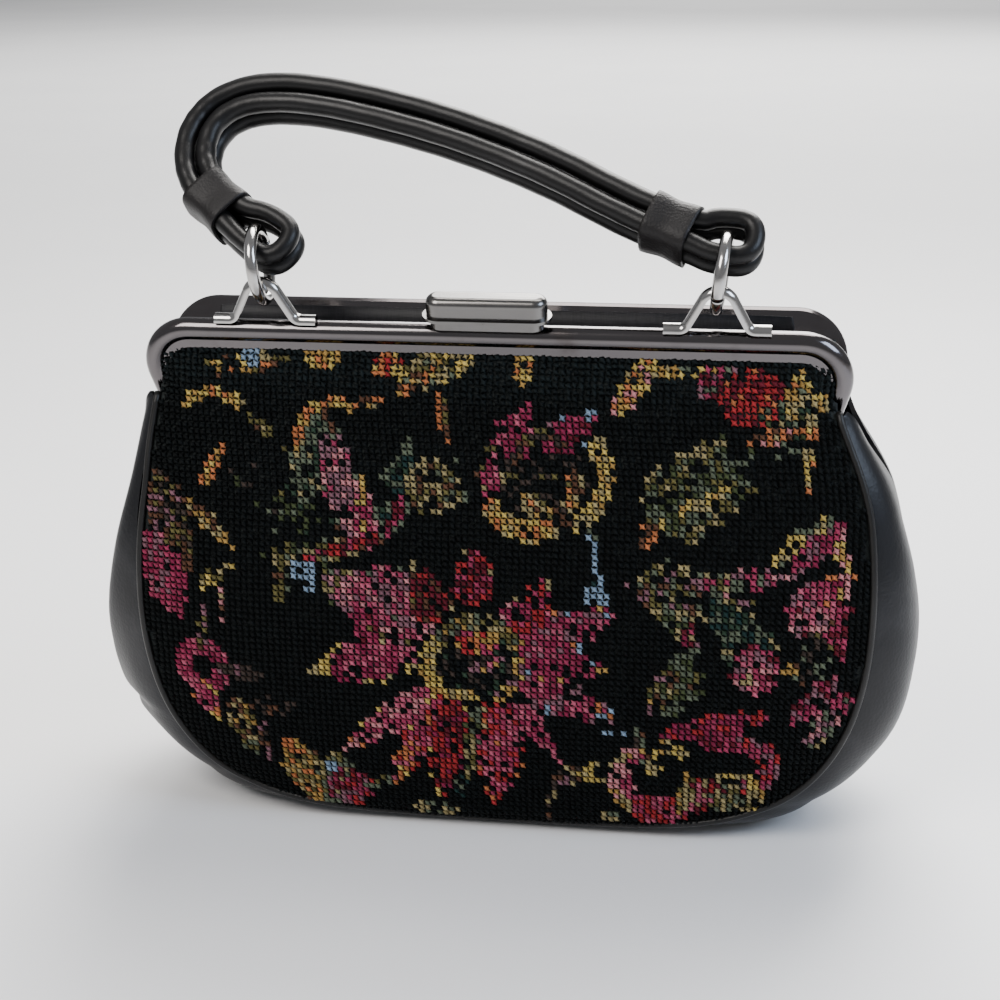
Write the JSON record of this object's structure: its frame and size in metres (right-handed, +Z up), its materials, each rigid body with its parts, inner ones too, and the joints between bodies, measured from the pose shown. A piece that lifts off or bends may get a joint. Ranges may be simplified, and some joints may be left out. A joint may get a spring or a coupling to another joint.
{
  "type": "carpet bag handbag",
  "caption": "Framed tapestry handbag with a leather gusset, a two-leaf metal frame with a rocking clasp, and a tubular leather handle on swinging rings.",
  "frame": {"origin": "on the floor under the middle of the bag, at the bottom centre of its box", "axes": "+Z up, -Y the front with the clasp, +X to the bag's right as seen from the front"},
  "size_m": [0.2789, 0.0882, 0.2508],
  "materials": {
    "tapestry": "wool stitches in a flower pattern on black",
    "leather": "smooth black, soft sheen",
    "piping": "smooth black cord",
    "lining": "black ribbed cloth",
    "board": "plain board",
    "frame": "dark polished nickel",
    "fittings": "bright polished nickel",
    "clasp": "satin nickel",
    "handle": "smooth black tube",
    "collar": "grained black",
    "spring": "plain wire"
  },
  "bodies": {
    "pouch": {"front_panel": "tapestry", "back_panel": "tapestry", "gusset": "leather", "front_piping": "piping", "back_piping": "piping", "lining": "lining", "base_board": "board", "left_hinge_rivet": "fittings", "right_hinge_rivet": "fittings"},
    "front_leaf": {"front_frame": "frame", "left_lug": "fittings", "right_lug": "fittings", "clasp_base": "clasp", "clasp_pin": "spring", "clasp_spring": "spring"},
    "rear_leaf": {"rear_frame": "frame", "catch_stud": "clasp"},
    "clasp": {"clasp_bar": "clasp"},
    "left_link": {"left_ring": "fittings"},
    "right_link": {"right_ring": "fittings"},
    "handle": {"handle_front_tube": "handle", "handle_rear_tube": "handle", "left_collar": "collar", "right_collar": "collar"}
  },
  "joints": [
    {"name": "front_leaf_hinge", "type": "hinge", "parent": "pouch", "child": "front_leaf", "pos_m": [0, 0, 0.116], "axis": [1, 0, 0], "range_deg": [-14.4, 25], "deforming": ["front_panel", "front_piping", "gusset", "lining"]},
    {"name": "rear_leaf_hinge", "type": "hinge", "parent": "pouch", "child": "rear_leaf", "pos_m": [0, 0, 0.116], "axis": [-1, 0, 0], "range_deg": [-14.4, 25], "deforming": ["back_panel", "back_piping"]},
    {"name": "clasp_rock", "type": "hinge", "parent": "front_leaf", "child": "clasp", "pos_m": [0, -0.02137, 0.17914], "axis": [1, 0, 0], "range_deg": [0, 10], "stiffness_Nm_per_rad": 0.02, "springref_deg": -20.05, "deforming": ["clasp_spring"]},
    {"name": "left_ring_swing", "type": "hinge", "parent": "front_leaf", "child": "left_link", "pos_m": [-0.0734, -0.02182, 0.18811], "axis": [-1, 0, 0], "range_deg": [-130, 40]},
    {"name": "right_ring_swing", "type": "hinge", "parent": "front_leaf", "child": "right_link", "pos_m": [0.0734, -0.02182, 0.18811], "axis": [-1, 0, 0], "range_deg": [-130, 40]},
    {"name": "handle_swing", "type": "hinge", "parent": "left_link", "child": "handle", "pos_m": [-0.0734, -0.01857, 0.19374], "axis": [-1, 0, 0], "range_deg": [-50, 15]}
  ],
  "couplings": [
    {"joint": "rear_leaf_hinge", "follows": "front_leaf_hinge", "ratio": 1},
    {"joint": "right_ring_swing", "follows": "left_ring_swing", "ratio": 1}
  ]
}
